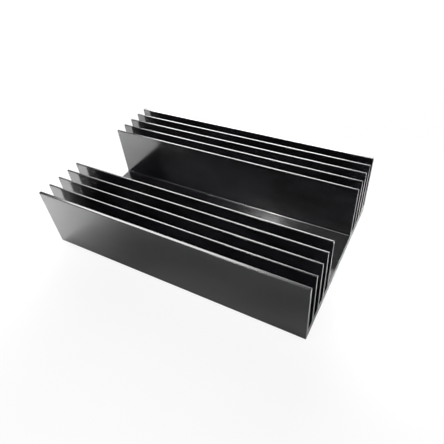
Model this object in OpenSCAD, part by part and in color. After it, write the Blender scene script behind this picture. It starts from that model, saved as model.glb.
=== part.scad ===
// Extruded aluminium heat sink: a flat base, and two banks of upright tapered fins with a wide
// channel between them for the device that is cooled. The section is drawn once and extruded
// along X, as the metal is pushed through its die, and both ends are sawn square.
// +X runs along the extrusion, +Y across the fins and +Z up. The origin is the underside's centre.

/* [Cut piece] */
// Length of the piece sawn off the extrusion
sink_length = 150; // [40:1:300]
// Width over the two outermost fins
sink_width = 95; // [80:1:140]
// Height from the underside to the fin tips
sink_height = 36; // [20:0.5:60]

/* [Base] */
// Thickness of the base under the fins and the channel
base_thickness = 5; // [2.5:0.25:10]
// Radius of the two long lower edges of the base
base_edge_radius = 0.4; // [0.1:0.05:1]

/* [Channel] */
// Clear width of the channel at its floor, between the two innermost fins
channel_width = 35.5; // [20:0.5:45]

/* [Fins] */
// Fins in each of the two banks, with the outer one counted
fins_per_bank = 5; // [3:1:6]
// Thickness of an inner fin at its tip
fin_tip_thickness = 1; // [0.8:0.1:1.5]
// Thickness of an inner fin where it meets the base
fin_root_thickness = 2; // [1.6:0.1:2.8]
// Thickness of the outer fin at its tip
outer_tip_thickness = 1.6; // [1:0.1:2]
// Thickness of the outer fin where it meets the base
outer_root_thickness = 2.25; // [2.1:0.05:3]

/* [Radii of the section] */
// Fillet where a fin meets the base, held back where a gap is too narrow for it
root_radius = 1.2; // [0.2:0.1:1.8]
// Radius of the two long edges of each fin tip, held back where a tip is too thin for it
tip_radius = 0.3; // [0.1:0.05:0.6]

/* [Hidden] */

// Facets of a full circle in the section's arcs
$fn = 64;

// Height of the fins above the base
fin_height = sink_height - base_thickness;

// Middle of the innermost and the outermost fin of a bank, from the section's centre line
innermost_fin = channel_width / 2 + fin_root_thickness / 2;
outermost_fin = sink_width / 2 - outer_tip_thickness / 2;

// Even spacing of the fins between those two
fin_pitch = (outermost_fin - innermost_fin) / (fins_per_bank - 1);

// Reach of the outer fin's root from its middle, on the side of the other fins
outer_root_reach = outer_root_thickness - outer_tip_thickness / 2;

// Floor of the gap beside the outer fin, which is the narrowest or as narrow as the rest
narrowest_gap = fin_pitch - fin_root_thickness / 2 - max(outer_root_reach, fin_root_thickness / 2);

// Largest share of that floor that one fillet takes
fillet_share = 0.45;
fillet_radius = min(root_radius, narrowest_gap * fillet_share);

// Largest share of a fin tip's thickness that one of its radii takes
tip_share = 0.45;
tip_arc = min(tip_radius, min(fin_tip_thickness, outer_tip_thickness) * tip_share);

// How far a fin's outline runs down into the base, so that the two are one outline
fin_seat = base_thickness / 2;

// Draft angle of a face that leans from `root` at the base to `tip` at the top
function draft(tip, root) = atan((root - tip) / fin_height);

// The base plate, with its two lower edges rounded
module base_profile() {
    side = sink_width / 2;
    translate([-side, base_edge_radius])
        square([sink_width, base_thickness - base_edge_radius]);
    translate([base_edge_radius - side, 0])
        square([sink_width - 2 * base_edge_radius, base_thickness]);
    for (end = [-1, 1])
        translate([end * (side - base_edge_radius), base_edge_radius])
            circle(base_edge_radius);
}

// One half of a fin, with a drafted face and a rounded tip edge. `tip` and `root` are that face's
// distances from the fin's middle, and the outline runs a little past the middle into the other
// half.
module fin_half(tip, root) {
    lean = draft(tip, root);
    arc_y = fin_height - tip_arc;
    arc_x = root - arc_y * tan(lean) - tip_arc / cos(lean);
    translate([arc_x, arc_y])
        circle(tip_arc);
    polygon([
        [-arc_x / 2, -fin_seat],
        [root, -fin_seat],
        [root, 0],
        [arc_x + tip_arc * cos(lean), arc_y + tip_arc * sin(lean)],
        [arc_x, fin_height],
        [-arc_x / 2, fin_height]
    ]);
}

// The fillet between that face and the base, tangent to both
module root_fillet(tip, root) {
    lean = draft(tip, root);
    arc_x = root - fillet_radius * tan(lean) + fillet_radius / cos(lean);
    face_x = arc_x - fillet_radius * cos(lean);
    face_y = fillet_radius - fillet_radius * sin(lean);
    difference() {
        polygon([
            [0, -fin_seat],
            [arc_x, -fin_seat],
            [arc_x, fillet_radius],
            [face_x, face_y],
            [0, face_y]
        ]);
        translate([arc_x, fillet_radius])
            circle(fillet_radius);
    }
}

// An inner fin, the same on both sides of its middle
module inner_fin_profile() {
    for (side = [0, 1])
        mirror([side, 0]) {
            fin_half(fin_tip_thickness / 2, fin_root_thickness / 2);
            root_fillet(fin_tip_thickness / 2, fin_root_thickness / 2);
        }
}

// The outer fin, drafted towards the other fins and upright on its outside, flush with the base
module outer_fin_profile() {
    fin_half(outer_tip_thickness / 2, outer_tip_thickness / 2);
    mirror([1, 0]) {
        fin_half(outer_tip_thickness / 2, outer_root_reach);
        root_fillet(outer_tip_thickness / 2, outer_root_reach);
    }
}

// The bank of fins on one side of the channel
module bank_profile() {
    for (place = [0 : fins_per_bank - 2])
        translate([innermost_fin + place * fin_pitch, 0])
            inner_fin_profile();
    translate([outermost_fin, 0])
        outer_fin_profile();
}

// The whole section: the base and a bank of fins on each side
module sink_profile() {
    base_profile();
    translate([0, base_thickness])
        for (side = [0, 1])
            mirror([side, 0])
                bank_profile();
}

// The black anodised heat sink, one piece of extruded metal
module heat_sink() {
    color([0.09, 0.09, 0.1])
        translate([-sink_length / 2, 0, 0])
            rotate([90, 0, 90])
                linear_extrude(sink_length)
                    sink_profile();
}

heat_sink();
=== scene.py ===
import math

import bpy
from mathutils import Matrix
from mathutils import Vector


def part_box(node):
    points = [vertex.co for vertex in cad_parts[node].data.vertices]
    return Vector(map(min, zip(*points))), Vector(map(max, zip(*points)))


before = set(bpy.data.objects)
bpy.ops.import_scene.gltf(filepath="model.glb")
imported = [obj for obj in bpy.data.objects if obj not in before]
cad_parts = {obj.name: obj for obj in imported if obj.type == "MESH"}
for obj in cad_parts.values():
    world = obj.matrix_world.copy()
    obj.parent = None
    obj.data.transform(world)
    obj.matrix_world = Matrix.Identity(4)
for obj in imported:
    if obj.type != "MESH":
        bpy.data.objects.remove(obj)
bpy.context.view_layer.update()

# ---------------------------------------------------------------------------------------------
# The heat sink: one aluminium extrusion, pushed through a die along X, sawn square at both ends
# and then black anodised all over. Its solid is already true, so here it only gets its finish.

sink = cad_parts["heat_sink"]
sink_low, sink_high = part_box("heat_sink")
MM = 0.001


def linear(hex_code):
    """An sRGB hex colour as linear RGBA."""
    channels = [int(hex_code[i:i + 2], 16) / 255 for i in (0, 2, 4)]
    curved = [c / 12.92 if c <= 0.04045 else ((c + 0.055) / 1.055) ** 2.4 for c in channels]
    return (*curved, 1.0)


def add_node(tree, kind, inputs, **settings):
    """A new node. Each input, by its name or its place, takes another node's output or a value."""
    node = tree.nodes.new(kind)
    for name, value in settings.items():
        setattr(node, name, value)
    for socket, value in inputs.items():
        if isinstance(value, bpy.types.NodeSocket):
            tree.links.new(value, node.inputs[socket])
        else:
            node.inputs[socket].default_value = value
    return node


def new_material(name):
    """A material with an empty node tree and its output node."""
    material = bpy.data.materials.new(name)
    material.use_nodes = True
    material.node_tree.nodes.clear()
    output = material.node_tree.nodes.new("ShaderNodeOutputMaterial")
    return material, material.node_tree, output


GRAIN_ROUGHNESS = 0.6


def grain(tree, place, spacings, detail):
    """Noise whose marks are about as long as the three spacings along X, Y and Z."""
    stretch = {"Vector": place, "Scale": [1 / spacing for spacing in spacings]}
    mapping = add_node(tree, "ShaderNodeMapping", stretch).outputs[0]
    noise = {"Vector": mapping, "Scale": 1.0, "Detail": detail, "Roughness": GRAIN_ROUGHNESS}
    return add_node(tree, "ShaderNodeTexNoise", noise).outputs[0]


# Black anodised aluminium, satin: a dyed oxide skin that is almost black straight on and picks
# up pale reflections at a glancing look. Fine die lines run along the extrusion, the etch before
# the dye leaves it a little cloudy, and the sawn ends keep the blade's marks under the dye. Real
# die lines are about 0.2 mm apart, the etch's grain about 0.1 mm and the blade's marks 0.3 mm:
# all three are drawn coarser here, so that they show.
OXIDE_IOR = 1.76
SATIN_ROUGHNESS = 0.14
SATIN_UNEVENNESS = 0.03
SAWN_ROUGHNESS = 0.28
DEEP_DYE = "0b0b0c"
CLOUDY_DYE = "323237"
RUBBED_DYE = "3a3a3e"
CLOUD_SPACINGS = (24 * MM, 13 * MM, 13 * MM)
CLOUD_DETAIL = 6.0
CLOUD_RANGE = {"From Min": 0.3, "From Max": 0.7}
DIE_LINE_SPACINGS = (90 * MM, 0.9 * MM, 0.9 * MM)
DIE_LINE_DETAIL = 3.0
DIE_LINE_DEPTH = 0.008 * MM
ETCH_SPACINGS = (0.5 * MM, 0.5 * MM, 0.5 * MM)
ETCH_DETAIL = 2.0
ETCH_DEPTH = 0.0006 * MM
SAW_MARK_SPACINGS = (10 * MM, 14 * MM, 0.6 * MM)
SAW_MARK_DETAIL = 3.0
SAW_MARK_DEPTH = 0.012 * MM
ARRIS_WIDTH = 0.3 * MM

finish, tree, output = new_material("black_anodised_satin")
coordinates = add_node(tree, "ShaderNodeTexCoord", {})
place = coordinates.outputs["Object"]
clouds = grain(tree, place, CLOUD_SPACINGS, CLOUD_DETAIL)
die_lines = grain(tree, place, DIE_LINE_SPACINGS, DIE_LINE_DETAIL)
etch = grain(tree, place, ETCH_SPACINGS, ETCH_DETAIL)
saw_marks = grain(tree, place, SAW_MARK_SPACINGS, SAW_MARK_DETAIL)

# The sawn ends are the faces that look along X.
END_FACING = 0.7
facing = add_node(tree, "ShaderNodeSeparateXYZ", {0: coordinates.outputs["Normal"]}).outputs["X"]
end_facing = add_node(tree, "ShaderNodeMath", {0: facing}, operation="ABSOLUTE").outputs[0]
sawn = add_node(
    tree, "ShaderNodeMath", {0: end_facing, 1: END_FACING}, operation="GREATER_THAN"
).outputs[0]

# The edges of the cut are rubbed, over an arris width back from each end.
along = add_node(tree, "ShaderNodeSeparateXYZ", {0: place}).outputs["X"]
from_middle = add_node(tree, "ShaderNodeMath", {0: along}, operation="ABSOLUTE").outputs[0]
arris_start = sink_high.x - ARRIS_WIDTH
arris = add_node(
    tree, "ShaderNodeMapRange",
    {"Value": from_middle, "From Min": arris_start, "From Max": sink_high.x},
).outputs[0]

# The dye is a shade lighter where the etch is cloudy and along the rubbed edges of the cut.
cloudiness = add_node(tree, "ShaderNodeMapRange", {"Value": clouds, **CLOUD_RANGE}).outputs[0]
dye = add_node(
    tree, "ShaderNodeMix",
    {0: cloudiness, 6: linear(DEEP_DYE), 7: linear(CLOUDY_DYE)},
    data_type="RGBA",
).outputs[2]
colour = add_node(
    tree, "ShaderNodeMix", {0: arris, 6: dye, 7: linear(RUBBED_DYE)}, data_type="RGBA"
).outputs[2]

# The satin is a little smoother where the dye is deep, and the sawn ends are duller.
satin = add_node(
    tree, "ShaderNodeMapRange",
    {
        "Value": clouds, **CLOUD_RANGE,
        "To Min": SATIN_ROUGHNESS - SATIN_UNEVENNESS,
        "To Max": SATIN_ROUGHNESS + SATIN_UNEVENNESS,
    },
).outputs[0]
roughness = add_node(tree, "ShaderNodeMix", {0: sawn, 2: satin, 3: SAWN_ROUGHNESS}).outputs[0]

# Die lines and etch mark the drawn faces, and the saw marks only the ends.
drawn_relief = add_node(
    tree, "ShaderNodeMath", {0: die_lines, 1: DIE_LINE_DEPTH}, operation="MULTIPLY"
).outputs[0]
drawn_relief = add_node(
    tree, "ShaderNodeMath", {0: etch, 1: ETCH_DEPTH, 2: drawn_relief}, operation="MULTIPLY_ADD"
).outputs[0]
sawn_relief = add_node(
    tree, "ShaderNodeMath", {0: saw_marks, 1: SAW_MARK_DEPTH}, operation="MULTIPLY"
).outputs[0]
relief = add_node(tree, "ShaderNodeMix", {0: sawn, 2: drawn_relief, 3: sawn_relief}).outputs[0]
bump = add_node(tree, "ShaderNodeBump", {"Height": relief, "Distance": 1.0}).outputs[0]
skin = add_node(
    tree, "ShaderNodeBsdfPrincipled",
    {"Base Color": colour, "Roughness": roughness, "Normal": bump, "IOR": OXIDE_IOR},
).outputs[0]
tree.links.new(skin, output.inputs["Surface"])
sink.material_slots[0].material = finish

# ---------------------------------------------------------------------------------------------
# The floor: a plain white sheet that the sink stands on. The eye sees most of it as plain white,
# reflections see a little of it so, and the rest keeps the sink's shadow.

FLOOR_SIDE = 6.0
FLOOR_GAP = 0.05 * MM
FLOOR_WHITE = "f0f0f0"
PLAIN_WHITE = "ffffff"
SEEN_PLAIN_SHARE = 0.9
REFLECTED_PLAIN_SHARE = 0.03

floor_mesh = bpy.data.meshes.new("floor")
half = FLOOR_SIDE / 2
corners = [(-half, -half, 0), (half, -half, 0), (half, half, 0), (-half, half, 0)]
floor_mesh.from_pydata(corners, [], [(0, 1, 2, 3)])
floor = bpy.data.objects.new("floor", floor_mesh)
bpy.context.scene.collection.objects.link(floor)
floor.location.z = sink_low.z - FLOOR_GAP


def plain_share(tree, seen, unseen):
    """How plain white a thing looks: `seen` to the eye, a little in reflections, plus `unseen`."""
    ray = add_node(tree, "ShaderNodeLightPath", {}).outputs
    reflected = add_node(
        tree, "ShaderNodeMath",
        {0: ray["Is Glossy Ray"], 1: ray["Is Transmission Ray"]},
        operation="MAXIMUM",
    ).outputs[0]
    share = add_node(
        tree, "ShaderNodeMath",
        {0: reflected, 1: REFLECTED_PLAIN_SHARE, 2: unseen},
        operation="MULTIPLY_ADD",
    ).outputs[0]
    return add_node(
        tree, "ShaderNodeMath",
        {0: ray["Is Camera Ray"], 1: seen, 2: share},
        operation="MULTIPLY_ADD",
    ).outputs[0]


# White paper: matt all over, with no gloss of its own.
paper, tree, output = new_material("white_paper")
matt = add_node(tree, "ShaderNodeBsdfDiffuse", {"Color": linear(FLOOR_WHITE)}).outputs[0]
plain = add_node(
    tree, "ShaderNodeEmission", {"Color": linear(PLAIN_WHITE), "Strength": 1.0}
).outputs[0]
share = plain_share(tree, SEEN_PLAIN_SHARE, 0.0)
surface = add_node(tree, "ShaderNodeMixShader", {0: share, 1: matt, 2: plain}).outputs[0]
tree.links.new(surface, output.inputs["Surface"])
floor_mesh.materials.append(paper)

# ---------------------------------------------------------------------------------------------
# The lights: two soft boxes behind the sink, which the fin tips reflect, and a weak one in front.
# Two small gridded lamps reach into the channel, and two more light the floor beside the ends,
# which the end faces and the left of the front face reflect.

BOX_DISTANCE = 1.3
CHANNEL_DISTANCE = 0.5
CHANNEL_BEAM = 16
CHANNEL_MIDDLE = (0.0, 0.012, 0.01)
CHANNEL_RIGHT = (0.025, 0.012, 0.01)
POOL_DISTANCE = 0.35
FLOOR_AT_LEFT = (-0.134, -0.052, 0.0)
FLOOR_AT_RIGHT = (0.115, 0.03, 0.0)


def soft_box(name, azimuth, elevation, distance, size, radiance, aim=(0, 0, 0), beam=180):
    """An area light turned to `aim`; azimuth is from +Y to +X, and radiance how bright it looks.

    A grid keeps its light within a beam of that many degrees.
    """
    data = bpy.data.lights.new(name, "AREA")
    data.shape = "RECTANGLE"
    data.size, data.size_y = size
    half_beam = math.radians(beam / 2)
    gathered = math.tan(half_beam) / (math.tan(half_beam) - half_beam)
    data.spread = 2 * half_beam
    data.energy = radiance * math.pi * size[0] * size[1] / gathered
    lamp = bpy.data.objects.new(name, data)
    bpy.context.scene.collection.objects.link(lamp)
    turned, raised = math.radians(azimuth), math.radians(elevation)
    away = Vector((
        math.sin(turned) * math.cos(raised), math.cos(turned) * math.cos(raised), math.sin(raised)
    ))
    lamp.location = Vector(aim) + away * distance
    lamp.rotation_euler = away.to_track_quat("Z", "Y").to_euler()
    lamp.visible_camera = False
    return lamp


soft_box("low_rear_box", -22, 27, BOX_DISTANCE, (0.88, 0.42), 14.5)
soft_box("high_rear_box", -35, 45, BOX_DISTANCE, (1.04, 0.4), 8.2)
soft_box("front_box", 195, 55, BOX_DISTANCE, (0.5, 0.5), 3.0)
soft_box(
    "channel_lamp", 206, 48, CHANNEL_DISTANCE, (0.035, 0.04), 120.0,
    aim=CHANNEL_RIGHT, beam=CHANNEL_BEAM,
)
soft_box(
    "fillet_lamp", 215, 60, CHANNEL_DISTANCE, (0.16, 0.06), 45.0,
    aim=CHANNEL_MIDDLE, beam=CHANNEL_BEAM,
)
left_pool = soft_box(
    "left_pool", 270, 90, POOL_DISTANCE, (0.06, 0.14), 200.0, aim=FLOOR_AT_LEFT, beam=30
)
right_pool = soft_box(
    "right_pool", 270, 90, POOL_DISTANCE, (0.05, 0.12), 400.0, aim=FLOOR_AT_RIGHT, beam=20
)

# The last two light the floor alone: the sink neither catches nor mirrors their light.
floor_alone = bpy.data.collections.new("floor_alone")
floor_alone.objects.link(floor)
for pool in (left_pool, right_pool):
    pool.light_linking.receiver_collection = floor_alone
    pool.visible_glossy = False

# The room is dim, and plain white to the eye.
ROOM_LIGHT = 0.07

world = bpy.data.worlds.new("studio")
bpy.context.scene.world = world
world.use_nodes = True
tree = world.node_tree
tree.nodes.clear()
strength = plain_share(tree, 1 - ROOM_LIGHT, ROOM_LIGHT)
room = add_node(
    tree, "ShaderNodeBackground", {"Color": linear(PLAIN_WHITE), "Strength": strength}
).outputs[0]
add_node(tree, "ShaderNodeOutputWorld", {"Surface": room})

# ---------------------------------------------------------------------------------------------
# The camera: it stands before the sink's right front corner, looks down on the sink by about 44
# degrees, so that the fins run away to the upper left, and is a little rolled.

CAMERA_PLACE = Vector((0.10139, -0.14405, 0.16846))
CAMERA_AZIMUTH = math.radians(33.307)
CAMERA_ELEVATION = math.radians(43.588)
CAMERA_ROLL = math.radians(6.6226)
SENSOR_WIDTH = 36.0
LENS = 33.724
NEAREST_SEEN = 0.01

camera_data = bpy.data.cameras.new("camera")
camera_data.sensor_width = SENSOR_WIDTH
camera_data.lens = LENS
camera_data.clip_start = NEAREST_SEEN
camera = bpy.data.objects.new("camera", camera_data)
bpy.context.scene.collection.objects.link(camera)
turn = Matrix.Rotation(CAMERA_AZIMUTH, 4, "Z")
tilt = Matrix.Rotation(math.pi / 2 - CAMERA_ELEVATION, 4, "X")
roll = Matrix.Rotation(-CAMERA_ROLL, 4, "Z")
camera.matrix_world = Matrix.Translation(CAMERA_PLACE) @ turn @ tilt @ roll
bpy.context.scene.camera = camera

bpy.context.scene.view_settings.view_transform = "Standard"
